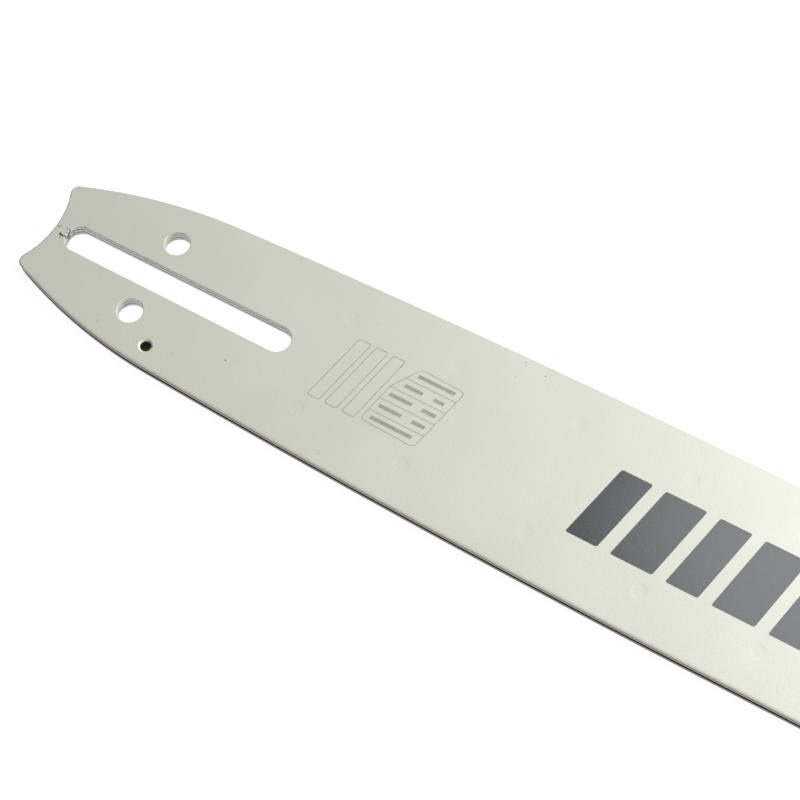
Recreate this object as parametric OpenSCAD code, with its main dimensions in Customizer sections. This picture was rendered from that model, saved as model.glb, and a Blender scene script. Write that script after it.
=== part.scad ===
// Laminated chainsaw guide bar, 45 cm cutting length, with an 11-tooth sprocket nose.
// The bar lies flat on its lower face. X runs from tail to nose, Y across, Z up.
// The origin is the centre of the stud slot's tail-side end, on the lower face.

/* [Outline] */
// Overall length of the side plates, tail tip to nose tip
bar_length = 540; // [480:5:600]
// Width at the widest point
bar_width = 66.1; // [62:0.1:76]
// Distance from the slot's tail-side end centre to the widest point
belly_x = 223; // [180:1:280]
// Radius of the long flank behind the widest point
flank_r = 3765; // [3000:5:6000]
// Radius of the shoulder that leads into the tail
shoulder_r = 172; // [140:1:220]
// Distance from the slot's end centre to where shoulder and flank meet
shoulder_x = 43.7; // [36:0.1:56]
// Radius of the nose
nose_r = 28; // [26.5:0.1:28.4]

/* [Tail] */
// Radius of the hollow tail end, which clears the drive sprocket
tail_hollow_r = 31.3; // [29:0.1:34]
// Distance of the hollow's centre behind the slot's end centre
tail_hollow_back = 40.6; // [39.5:0.1:44]
// Radius of the two tail corners
tail_corner_r = 2.8; // [1:0.1:4]

/* [Plies] */
// Thickness of each side plate
plate_t = 1.55; // [1.2:0.05:2]
// Thickness of the core plate, which is the width of the chain groove
core_t = 1.6; // [1.3:0.05:2]
// Depth of the chain groove
groove_depth = 6.2; // [5:0.1:7.5]
// Radius of the core plate's tail corners
core_corner_r = 1; // [0.5:0.1:2]

/* [Saw mount] */
// Width of the stud slot
slot_w = 9.2; // [8:0.1:9.8]
// Distance between the centres of the slot's two round ends
slot_travel = 74.4; // [60:0.1:90]
// Diameter of the two chain-adjuster holes
adjuster_d = 8.4; // [7:0.1:9.5]
// Distance of the adjuster holes in front of the slot's end centre
adjuster_x = 28.7; // [20:0.1:36]
// Distance between the two adjuster holes
adjuster_spacing = 27.8; // [25:0.1:32]

/* [Oil holes] */
// Diameter of the oil hole in each side plate
oil_d = 3.5; // [2:0.1:4.5]
// Width of the countersink round each oil hole
oil_sink = 0.5; // [0.1:0.05:0.8]
// Distance of the oil holes in front of the slot's end centre
oil_x = 39.7; // [38:0.1:50]
// Distance of the oil hole's centre from the edge of the bar
oil_edge = 6.6; // [5.5:0.1:7.5]

/* [Spot welds] */
// Diameter of the dimple that each spot weld leaves
weld_d = 4.6; // [3:0.1:6]
// Depth of the dimple
weld_depth = 0.12; // [0.05:0.01:0.3]
// Width of the dimple's sloping rim
weld_rim = 0.7; // [0.2:0.1:1]
// Distance between the welds of one gang of three
weld_pitch = 37; // [30:0.5:38]
// Distance from one gang of three to the next
gang_pitch = 116; // [114.5:0.5:130]
// Distance of the first whole gang in front of the slot's end centre
gang_x = 54.7; // [52:0.1:60]
// Distance of the welds from the edge in front of the slot
weld_edge = 13.3; // [11:0.1:15]
// Gap between the welds beside the slot and the slot's wall
weld_slot_gap = 3.4; // [2.8:0.1:5]

/* [Nose sprocket] */
// Number of teeth
teeth = 11; // [10:1:12]
// Distance between two rivets of the chain, which is its pitch
chain_pitch = 9.525; // [9.4:0.005:9.6]
// Thickness of the sprocket
sprocket_t = 1.4; // [1.1:0.05:1.5]
// Distance of the tooth tips inside the circle of the chain's rivets
tip_drop = 4.1; // [3.6:0.1:4.6]
// Distance of the valley bottoms inside the circle of the chain's rivets
valley_drop = 11.2; // [10.8:0.1:12]
// Width of the land left on each tooth tip
tip_land = 1.9; // [1:0.1:3]
// Space between the tooth tips and the core plate
pocket_gap = 0.8; // [0.4:0.1:2]

/* [Nose bearing] */
// Diameter of the inner race
race_d = 22.4; // [20:0.1:24]
// Diameter of the rollers
roller_d = 2.4; // [2.2:0.05:2.8]
// Length of the rollers
roller_l = 1.46; // [1.3:0.02:1.5]
// Running clearance of the rollers at the race and at the sprocket
running_gap = 0.03; // [0.02:0.01:0.08]
// Smallest space between two neighbouring rollers
roller_space = 0.1; // [0.05:0.01:0.12]
// Diameter of the grease hole over the rollers
grease_d = 2.2; // [1.5:0.1:2.6]

/* [Nose rivets] */
// Number of rivets that clamp the inner race
rivets = 6; // [4:1:6]
// Radius of the circle that the rivets stand on
rivet_ring_r = 6.8; // [6.4:0.1:7.2]
// Diameter of the shank
rivet_d = 3.6; // [3:0.1:4]
// Diameter of the countersunk heads
rivet_head_d = 5.4; // [5:0.1:5.8]
// Height of the countersunk heads
rivet_head_h = 0.9; // [0.6:0.1:1.1]
// Clearance round the rivets
rivet_gap = 0.02; // [0.01:0.01:0.05]

/* [Hidden] */
$fn = 96;
// Steps of each arc of the outline
tail_steps = 10;
corner_steps = 8;
shoulder_steps = 16;
flank_steps = 16;
nose_steps = 28;
// How far a cut runs past the face that it opens
cut = 1;

bar_t = 2 * plate_t + core_t;
half_w = bar_width / 2;
tail_centre = [-tail_hollow_back, 0];
flank_centre = [belly_x, half_w - flank_r];
shoulder_angle = acos((shoulder_x - belly_x) / flank_r);
shoulder_centre = flank_centre + (flank_r - shoulder_r) * unit(shoulder_angle);

// The nose is one bar length in front of the tail corners.
tail_tip_x = corner_centre(0, tail_corner_r).x - tail_corner_r;
nose_x = tail_tip_x + bar_length - nose_r;
nose_run = nose_x - belly_x;
// The front flank leaves the widest point level and meets the nose smoothly.
front_r = (nose_run * nose_run / (half_w - nose_r) + half_w + nose_r) / 2;
front_centre = [belly_x, half_w - front_r];
nose_angle = atan2(front_r - half_w, nose_run);

chain_r = chain_pitch / (2 * sin(90 / teeth));
tip_r = chain_r - tip_drop;
valley_bottom_r = chain_r - valley_drop;
// Each valley is one circle that leaves the stated land between neighbours.
half_tooth = 180 / teeth;
valley_r = (2 * valley_bottom_r * sin(half_tooth) - tip_land) / (2 - 2 * sin(half_tooth));
valley_centre_r = valley_bottom_r + valley_r;
pocket_r = tip_r + pocket_gap;

roller_ring_r = race_d / 2 + running_gap + roller_d / 2;
sprocket_bore_r = roller_ring_r + roller_d / 2 + running_gap;
roller_step = 2 * asin((roller_d + roller_space) / (2 * roller_ring_r));
rollers = floor(360 / roller_step);

slot_end_x = slot_travel + slot_w / 2;
weld_last_x = nose_x - pocket_r - weld_edge;
weld_xs = [
    for (gang = [-1:4], k = [0:2])
        let (x = gang_x + gang * gang_pitch + k * weld_pitch)
        if (x > 0 && x < weld_last_x) x
];

plate_colour = [0.87, 0.88, 0.83];
core_colour = [0.55, 0.54, 0.53];
steel_colour = [0.62, 0.62, 0.63];
race_colour = [0.42, 0.42, 0.44];
rivet_colour = [0.72, 0.72, 0.71];

function unit(a) = [cos(a), sin(a)];
function angle_of(v) = atan2(v.y, v.x);
function arc(c, r, a0, a1, steps) = [for (i = [0:steps]) c + r * unit(a0 + (a1 - a0) * i / steps)];
// Upper crossing point of a circle round a with a circle round b
function crossing(a, ra, b, rb) =
    let (v = b - a, d = norm(v), u = v / d, t = (d * d + ra * ra - rb * rb) / (2 * d), h = sqrt(ra * ra - t * t))
    a + t * u + h * [-u.y, u.x];
// Centre of a tail corner that touches the hollow and the shoulder
function corner_centre(inset, r) =
    crossing(tail_centre, tail_hollow_r + r, shoulder_centre, shoulder_r - inset - r);
// Upper half of the outline from the tail's middle to the nose's, set in along the flanks
function half_outline(inset, corner_r) =
    let (
        k = corner_centre(inset, corner_r),
        hollow_end = angle_of(k - tail_centre),
        shoulder_start = angle_of(k - shoulder_centre)
    )
    concat(
        arc(tail_centre, tail_hollow_r, 0, hollow_end, tail_steps),
        arc(k, corner_r, hollow_end + 180, shoulder_start, corner_steps),
        arc(shoulder_centre, shoulder_r - inset, shoulder_start, shoulder_angle, shoulder_steps),
        arc(flank_centre, flank_r - inset, shoulder_angle, 90, flank_steps),
        arc(front_centre, front_r - inset, 90, nose_angle, flank_steps),
        arc([nose_x, 0], nose_r - inset, nose_angle, 0, nose_steps)
    );
// Each arc starts where the last one ended, so points that repeat are left out.
function without_repeats(p) = [for (i = [0:len(p) - 1]) if (i == 0 || norm(p[i] - p[i - 1]) > 0.001) p[i]];
function mirrored(p) = [for (i = [len(p) - 2:-1:1]) [p[i].x, -p[i].y]];
function outline(inset, corner_r) =
    let (p = without_repeats(half_outline(inset, corner_r))) concat(p, mirrored(p));
// Half the width of the bar at a place along it
function arc_height(x, c, r) = c.y + sqrt(r * r - (x - c.x) * (x - c.x));
function half_width(x) =
    x < shoulder_x ? arc_height(x, shoulder_centre, shoulder_r)
    : x < belly_x ? arc_height(x, flank_centre, flank_r)
    : arc_height(x, front_centre, front_r);
function weld_y(x) = x < slot_end_x ? slot_w / 2 + weld_slot_gap + weld_d / 2 : half_width(x) - weld_edge;
function two_digits(i) = str(i < 10 ? "0" : "", i);
function rivet_name(i) = str("nose_rivet_", i);
function roller_name(i) = str("bearing_roller_", two_digits(i));

oil_y = half_width(oil_x) - oil_edge;

// Stud slot, cut through a ply
module slot_cut(t) {
    for (x = [0, slot_travel])
        translate([x, 0, -cut]) cylinder(h = t + 2 * cut, d = slot_w);
    translate([0, -slot_w / 2, -cut]) cube([slot_travel, slot_w, t + 2 * cut]);
}

// The two holes for the chain adjuster's peg
module adjuster_cuts(t) {
    for (side = [-1, 1])
        translate([adjuster_x, side * adjuster_spacing / 2, -cut]) cylinder(h = t + 2 * cut, d = adjuster_d);
}

// Countersunk oil hole, on one side of each plate so that the bar can be turned over
module oil_cut() {
    translate([oil_x, -oil_y, -cut]) cylinder(h = plate_t + 2 * cut, d = oil_d);
    translate([oil_x, -oil_y, plate_t - oil_sink]) cylinder(h = 2 * oil_sink, r1 = oil_d / 2, r2 = oil_d / 2 + 2 * oil_sink);
}

// Shallow flat dish with a sloping rim
module weld_dimple() {
    translate([0, 0, plate_t - weld_depth])
        cylinder(h = 2 * weld_depth, r1 = weld_d / 2 - weld_rim, r2 = weld_d / 2 + weld_rim);
}

// Places whatever it is given at each rivet
module at_rivet(i) {
    translate([nose_x, 0, 0]) rotate(i * 360 / rivets) translate([rivet_ring_r, 0, 0]) children();
}

// Half section of a rivet with two countersunk heads, grown by gap
module rivet_section(gap, reach) {
    shank_r = rivet_d / 2 + gap;
    head_r = rivet_head_d / 2 + gap;
    polygon([
        [0, -reach], [head_r, -reach], [head_r, 0], [shank_r, rivet_head_h],
        [shank_r, bar_t - rivet_head_h], [head_r, bar_t], [head_r, bar_t + reach], [0, bar_t + reach]
    ]);
}

// One pressed side plate with its outer face up and its oil hole towards -Y
module side_plate() {
    difference() {
        linear_extrude(plate_t) polygon(outline(0, tail_corner_r));
        slot_cut(plate_t);
        adjuster_cuts(plate_t);
        oil_cut();
        for (x = weld_xs, side = [-1, 1])
            translate([x, side * weld_y(x), 0]) weld_dimple();
        for (i = [1:rivets])
            at_rivet(i) translate([0, 0, plate_t - bar_t]) rotate_extrude() rivet_section(rivet_gap, cut);
        translate([nose_x - roller_ring_r, 0, -cut]) cylinder(h = plate_t + 2 * cut, d = grease_d);
    }
}

module side_plate_top() {
    color(plate_colour) translate([0, 0, plate_t + core_t]) side_plate();
}

module side_plate_bottom() {
    color(plate_colour) translate([0, 0, plate_t]) rotate([180, 0, 0]) side_plate();
}

// Core ply, set in along both flanks to leave the chain groove and hollowed for the sprocket
module core_plate() {
    color(core_colour) translate([0, 0, plate_t]) difference() {
        linear_extrude(core_t) polygon(outline(groove_depth, core_corner_r));
        slot_cut(core_t);
        adjuster_cuts(core_t);
        translate([nose_x, 0, -cut]) cylinder(h = core_t + 2 * cut, r = pocket_r);
        for (side = [-1, 1]) {
            translate([oil_x, side * oil_y, -cut]) cylinder(h = core_t + 2 * cut, d = oil_d);
            translate([oil_x - oil_d / 2, side > 0 ? oil_y : -oil_y - oil_edge, -cut])
                cube([oil_d, oil_edge, core_t + 2 * cut]);
        }
    }
}

// Star wheel that carries the chain round the nose
module nose_sprocket() {
    color(steel_colour) translate([nose_x, 0, (bar_t - sprocket_t) / 2]) difference() {
        cylinder(h = sprocket_t, r = tip_r);
        for (i = [1:teeth])
            rotate((i - 0.5) * 360 / teeth) translate([valley_centre_r, 0, -cut])
                cylinder(h = sprocket_t + 2 * cut, r = valley_r);
        translate([0, 0, -cut]) cylinder(h = sprocket_t + 2 * cut, r = sprocket_bore_r);
    }
}

// Fixed inner race, clamped between the side plates
module bearing_race() {
    color(race_colour) difference() {
        translate([nose_x, 0, plate_t]) cylinder(h = core_t, d = race_d);
        for (i = [1:rivets])
            at_rivet(i) cylinder(h = bar_t, d = rivet_d + 2 * rivet_gap);
    }
}

module nose_rivet(i) {
    color(rivet_colour) at_rivet(i) rotate_extrude() rivet_section(0, 0);
}

module bearing_roller(i) {
    color(steel_colour) translate([nose_x, 0, (bar_t - roller_l) / 2]) rotate(i * 360 / rollers)
        translate([roller_ring_r, 0, 0]) cylinder(h = roller_l, d = roller_d, $fn = 32);
}

side_plate_top();
core_plate();
side_plate_bottom();
nose_sprocket();
bearing_race();
for (i = [1:rivets])
    nose_rivet(i);
for (i = [1:rollers])
    bearing_roller(i);
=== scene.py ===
"""Painted, laminated chainsaw guide bar with a sprocket nose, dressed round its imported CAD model.

The bar lies flat. X runs from tail to nose, Y across and Z up, and the origin is the centre of the
stud slot's tail-side end on the lower face. Every size is in metres.
"""

import math

import bmesh
import bpy
import numpy as np
from mathutils import Matrix, Vector
from mathutils.geometry import delaunay_2d_cdt


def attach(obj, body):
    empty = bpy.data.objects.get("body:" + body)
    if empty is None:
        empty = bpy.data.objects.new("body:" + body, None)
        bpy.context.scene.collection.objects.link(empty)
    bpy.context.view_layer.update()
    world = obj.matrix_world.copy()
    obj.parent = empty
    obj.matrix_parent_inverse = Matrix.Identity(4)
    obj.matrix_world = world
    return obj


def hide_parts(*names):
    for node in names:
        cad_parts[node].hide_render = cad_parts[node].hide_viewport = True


bl_info = {
    "name": "Laminated guide bar",
    "version": (1, 0, 0),
    "blender": (4, 5, 0),
    "location": "3D View > Sidebar > Guide Bar",
    "description": "Builds the painted side plates, core, star wheel, rivets and face marks of a guide bar",
    "category": "Add Mesh",
}

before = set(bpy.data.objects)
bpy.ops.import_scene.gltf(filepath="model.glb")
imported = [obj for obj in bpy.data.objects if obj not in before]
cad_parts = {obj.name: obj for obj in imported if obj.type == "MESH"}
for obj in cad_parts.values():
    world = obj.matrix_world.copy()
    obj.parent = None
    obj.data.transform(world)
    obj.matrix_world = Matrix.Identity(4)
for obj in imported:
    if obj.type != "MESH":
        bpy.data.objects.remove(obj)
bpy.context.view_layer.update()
MM = 0.001

# Finishes of the faces of a side plate, in the order of its material slots
PAINT, SHADED_EDGE, WALL, RAIL, INSIDE, LIP, OIL_WALL, CHIP, CHIP_RIM = range(9)


def length(name, description, millimetres):
    """A size that is written in millimetres and kept in metres."""
    return bpy.props.FloatProperty(
        name=name, description=description, default=millimetres * MM, unit="LENGTH", precision=5
    )


def linear(code):
    """Colour of an sRGB hex code as linear red, green, blue and alpha."""
    parts = [int(code[i : i + 2], 16) / 255 for i in (1, 3, 5)]
    return [p / 12.92 if p <= 0.04045 else ((p + 0.055) / 1.055) ** 2.4 for p in parts] + [1.0]


def colour(name, description, code):
    """A colour that is written as an sRGB hex code and kept linear."""
    return bpy.props.FloatVectorProperty(
        name=name, description=description, default=linear(code), size=4, subtype="COLOR", min=0, max=1
    )


class GuideBarOutline(bpy.types.PropertyGroup):
    """The bar's outline and plies, as in the CAD source."""

    bar_length: length("Bar length", "Overall length of the side plates", 540)
    bar_width: length("Bar width", "Width at the widest point", 66.1)
    belly_x: length("Widest point", "Distance from the slot's end centre to the widest point", 223)
    flank_r: length("Flank radius", "Radius of the long flank behind the widest point", 3765)
    shoulder_r: length("Shoulder radius", "Radius of the shoulder that leads into the tail", 172)
    shoulder_x: length("Shoulder end", "Where shoulder and flank meet", 43.7)
    nose_r: length("Nose radius", "Radius of the nose", 28)
    hollow_r: length("Tail hollow radius", "Radius of the hollow tail end", 31.3)
    hollow_back: length("Tail hollow centre", "Distance of its centre behind the slot's end centre", 40.6)
    corner_r: length("Tail corner radius", "Radius of the two tail corners", 2.8)
    plate_t: length("Side plate", "Thickness of each side plate", 1.55)
    core_t: length("Core plate", "Thickness of the core plate", 1.6)


class GuideBarOpenings(bpy.types.PropertyGroup):
    """Slot, holes and spot welds, as in the CAD source."""

    slot_w: length("Slot width", "Width of the stud slot", 9.2)
    slot_travel: length("Slot travel", "Distance between the centres of the slot's round ends", 74.4)
    adjuster_d: length("Adjuster hole", "Diameter of the two chain-adjuster holes", 8.4)
    adjuster_x: length("Adjuster hole place", "Distance of the adjuster holes in front of the origin", 28.7)
    adjuster_spacing: length("Adjuster hole spacing", "Distance between the adjuster holes", 27.8)
    oil_d: length("Oil hole", "Diameter of the oil hole", 3.5)
    oil_sink: length("Oil hole countersink", "Width of the countersink round the oil hole", 0.5)
    oil_x: length("Oil hole place", "Distance of the oil hole in front of the origin", 39.7)
    oil_edge: length("Oil hole to edge", "Distance of the oil hole's centre from the bar's edge", 6.6)
    weld_d: length("Weld dimple", "Diameter of the dimple over each spot weld", 4.6)
    weld_depth: length("Weld dimple depth", "Depth of the dimple", 0.12)
    weld_pitch: length("Weld pitch", "Distance between the welds of one gang of three", 37)
    gang_pitch: length("Gang pitch", "Distance from one gang of three to the next", 116)
    gang_x: length("First gang", "Place of the first whole gang", 54.7)
    weld_edge: length("Weld to edge", "Distance of the welds from the edge in front of the slot", 13.3)
    weld_slot_gap: length("Weld to slot", "Gap between the welds beside the slot and its wall", 3.4)


class GuideBarNose(bpy.types.PropertyGroup):
    """Star wheel, rivets and grease hole, as in the CAD source."""

    teeth: bpy.props.IntProperty(
        name="Teeth", description="Teeth of the star wheel", default=11, min=7, max=17
    )
    chain_pitch: length("Chain pitch", "Pitch of the chain", 9.525)
    wheel_t: length("Wheel thickness", "Thickness of the star wheel", 1.4)
    tip_drop: length("Tip drop", "Distance of the tips inside the chain's rivet circle", 4.1)
    valley_drop: length("Valley drop", "Distance of the valleys inside the chain's rivet circle", 11.2)
    tip_land: length("Tip land", "Width of the land on each tip", 1.9)
    pocket_gap: length("Pocket gap", "Space between the tips and the core", 0.8)
    roller_ring_r: length("Roller circle", "Radius of the circle of roller centres", 12.43)
    roller_d: length("Roller", "Diameter of the rollers", 2.4)
    running_gap: length("Running gap", "Clearance of the rollers", 0.03)
    grease_d: length("Grease hole", "Diameter of the grease hole", 2.2)
    rivets: bpy.props.IntProperty(
        name="Rivets", description="Rivets round the race", default=6, min=3, max=8
    )
    rivet_ring_r: length("Rivet circle", "Radius of the circle that the rivets stand on", 6.8)
    rivet_d: length("Rivet shank", "Diameter of the rivet's shank", 3.6)
    rivet_head_d: length("Rivet head", "Diameter of the countersunk heads", 5.4)
    rivet_head_h: length("Rivet head height", "Height of the countersunk heads", 0.9)
    rivet_gap: length("Rivet gap", "Clearance round the rivets", 0.02)


class GuideBarEdges(bpy.types.PropertyGroup):
    """How the edges are broken, and the places of the chipped paint."""

    edge_reach: length("Edge, reach", "Width of a plate's rounded outer edge, seen from above", 0.3)
    edge_drop: length("Edge, drop", "Height of a plate's rounded outer edge", 0.2)
    roll_reach: length("Worn edge, reach", "The same width where the upper plate's near flank is worn", 1.15)
    roll_drop: length("Worn edge, drop", "The same height where the upper plate's near flank is worn", 0.4)
    rail_chamfer: length("Rail chamfer", "Chamfer of each rail beside the chain groove", 0.04)
    hole_round: length("Hole edge", "Radius of the painted edge of a cut opening", 0.22)
    seam_chamfer: length("Seam chamfer", "Chamfer of each ply where two plies meet", 0.17)
    hole_chamfer: length("Hole chamfer", "Chamfer of each side plate at the seam in a round hole", 0.06)
    wheel_chamfer: length("Wheel chamfer", "Chamfer of the star wheel", 0.12)
    film_t: length("Print thickness", "Thickness of the print on the paint", 0.02)
    chip_depth: length("Chip depth", "Thickness of the paint that has flaked off", 0.09)


class GuideBarFinishes(bpy.types.PropertyGroup):
    """Colours of the bar's finishes."""

    paint: colour("Paint", "Warm pale grey enamel", "#DBDCCE")
    wall: colour("Wall paint", "Thin enamel in the walls of the openings", "#DBDAD6")
    steel: colour("Rail steel", "Ground rail steel", "#9A958C")
    dark_steel: colour("Core steel", "Oiled steel between the plates", "#6C655C")
    bright_steel: colour("Bright steel", "Freshly cut or polished steel", "#D9D8D3")
    print_dark: colour("Dark print", "Glossy dark grey print", "#222325")
    print_line: colour("Line print", "Thin grey brown print", "#B3B0A3")
    print_row: colour("Row print", "Beige grey print in the rows", "#A9A799")


def settings():
    """The scene's property groups: outline, openings, nose, edges and finishes."""
    s = bpy.context.scene
    return s.bar_outline, s.bar_openings, s.bar_nose, s.bar_edges, s.bar_finishes


# Flat shapes


def directions(degrees):
    """Unit vectors at these angles."""
    a = np.radians(degrees)
    return np.column_stack([np.cos(a), np.sin(a)])


def arc(centre, radius, start, end, steps):
    """Points of an arc: the centre plus the radius in each direction from start to end, in degrees."""
    return np.asarray(centre) + radius * directions(np.linspace(start, end, steps + 1))


def angle_of(v):
    """Direction of a vector in degrees."""
    return math.degrees(math.atan2(v[1], v[0]))


def crossing(a, ra, b, rb):
    """Upper crossing of a circle round a with one round b, by the cosine rule."""
    v = b - a
    d = np.hypot(*v)
    t = (d * d + ra * ra - rb * rb) / (2 * d)
    u = v / d
    return a + t * u + math.sqrt(ra * ra - t * t) * np.array([-u[1], u[0]])


def smooth(t):
    """Smooth step from 0 to 1: 3t^2 - 2t^3, held at both ends."""
    t = np.clip(t, 0, 1)
    return t * t * (3 - 2 * t)


def without_repeats(points):
    """Drops each point that lies on the one before it, which is where two arcs meet."""
    gap = np.hypot(*(points - np.roll(points, 1, axis=0)).T)
    return points[gap > 1e-6]


def bar_lines(outline):
    """Centres, radii and angles of the arcs that make half the outline, each tangent to the next."""
    half = outline.bar_width / 2
    flank = np.array([outline.belly_x, half - outline.flank_r])
    shoulder_angle = math.degrees(math.acos((outline.shoulder_x - outline.belly_x) / outline.flank_r))
    shoulder = flank + (outline.flank_r - outline.shoulder_r) * directions([shoulder_angle])[0]
    hollow = np.array([-outline.hollow_back, 0.0])
    to_hollow = outline.hollow_r + outline.corner_r
    to_shoulder = outline.shoulder_r - outline.corner_r
    corner = crossing(hollow, to_hollow, shoulder, to_shoulder)
    nose_x = corner[0] - outline.corner_r + outline.bar_length - outline.nose_r
    run = nose_x - outline.belly_x
    front_r = (run * run / (half - outline.nose_r) + half + outline.nose_r) / 2
    front = np.array([outline.belly_x, half - front_r])
    nose_angle = math.degrees(math.atan2(front_r - half, run))
    return {
        "hollow": hollow, "corner": corner, "shoulder": shoulder, "shoulder_angle": shoulder_angle,
        "flank": flank, "front": front, "front_r": front_r, "nose_x": nose_x, "nose_angle": nose_angle,
    }  # fmt: skip


def bar_outline(outline):
    """Closed outline of a side plate, anticlockwise: its arcs from tail to nose, and their mirror image."""
    k = bar_lines(outline)
    hollow_end = angle_of(k["corner"] - k["hollow"])
    shoulder_start = angle_of(k["corner"] - k["shoulder"])
    half = np.concatenate(
        [
            arc(k["hollow"], outline.hollow_r, 0, hollow_end, 30),
            arc(k["corner"], outline.corner_r, hollow_end + 180, shoulder_start, 24),
            arc(k["shoulder"], outline.shoulder_r, shoulder_start, k["shoulder_angle"], 48),
            arc(k["flank"], outline.flank_r, k["shoulder_angle"], 90, 64),
            arc(k["front"], k["front_r"], 90, k["nose_angle"], 64),
            arc([k["nose_x"], 0], outline.nose_r, k["nose_angle"], 0, 84),
        ]
    )
    half = without_repeats(half)
    return np.concatenate([half * [1, -1], half[-2:0:-1]])


def half_width(outline, x):
    """Half the bar's width at x: the height of the arc that passes there."""
    k = bar_lines(outline)
    if x < outline.shoulder_x:
        c, r = k["shoulder"], outline.shoulder_r
    elif x < outline.belly_x:
        c, r = k["flank"], outline.flank_r
    else:
        c, r = k["front"], k["front_r"]
    return c[1] + math.sqrt(r * r - (x - c[0]) ** 2)


def circle(centre, radius, steps, clockwise=True):
    """Points of a full circle, clockwise where it bounds a hole."""
    turn = -360 if clockwise else 360
    return arc(centre, radius, 0, turn, steps)[:-1]


def slot_path(openings):
    """Clockwise path of the stud slot: two half circles joined by its straight walls."""
    r = openings.slot_w / 2
    near = arc([0, 0], r, 270, 90, 48)
    far = arc([openings.slot_travel, 0], r, 90, -90, 48)
    return without_repeats(np.concatenate([near, far]))


def flake_ring(line, width, seed, inset=0.0, steps=11):
    """Clockwise ragged ring round a short line. At s from 0 to 1 along the line its half width is
    width / 2 * sqrt(1 - (2s - 1)^4), stirred on each side by waves of random phase. inset draws it in."""
    line = np.asarray(line, float)
    random = np.random.default_rng(seed)
    s = np.linspace(inset, 1 - inset, steps)
    run = np.concatenate([[0], np.cumsum(np.hypot(*np.diff(line, axis=0).T))])
    middle = np.column_stack([np.interp(s * run[-1], run, line[:, i]) for i in (0, 1)])
    step = np.gradient(middle, axis=0)
    left = np.column_stack([-step[:, 1], step[:, 0]]) / np.hypot(*step.T)[:, None]
    t = np.linspace(-1, 1, steps)
    half = width * (0.5 - inset) * np.sqrt(1 - t**4)
    sides = []
    for phases in random.uniform(0, 6.3, (2, 3)):
        waves = sum(0.13 * np.sin(turns * s + phase) for turns, phase in zip((5, 9, 14), phases))
        sides.append((half * (1 + waves))[:, None] * left)
    return np.concatenate([(middle + sides[0]), (middle - sides[1])[-2:0:-1]])


def rounded(corners, reach, steps=5):
    """Polygon with each corner replaced by a curve that leaves the sides at reach from the corner."""
    p = np.asarray(corners, float)
    before, after = np.roll(p, 1, axis=0) - p, np.roll(p, -1, axis=0) - p
    a = p + before * (reach / np.hypot(*before.T))[:, None]
    b = p + after * (reach / np.hypot(*after.T))[:, None]
    s = np.linspace(0, 1, steps + 1)[None, :, None]
    curve = (1 - s) ** 2 * a[:, None] + 2 * s * (1 - s) * p[:, None] + s**2 * b[:, None]
    return curve.reshape(-1, 2)


def inward(path):
    """Mitred unit normals to the left of a closed path, which is the side that its material is on."""
    step = np.roll(path, -1, axis=0) - path
    step = step / np.hypot(*step.T)[:, None]
    left = np.column_stack([-step[:, 1], step[:, 0]])
    last = np.roll(left, 1, axis=0)
    return (left + last) / (1 + (left * last).sum(axis=1))[:, None]


# Surfaces


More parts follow.
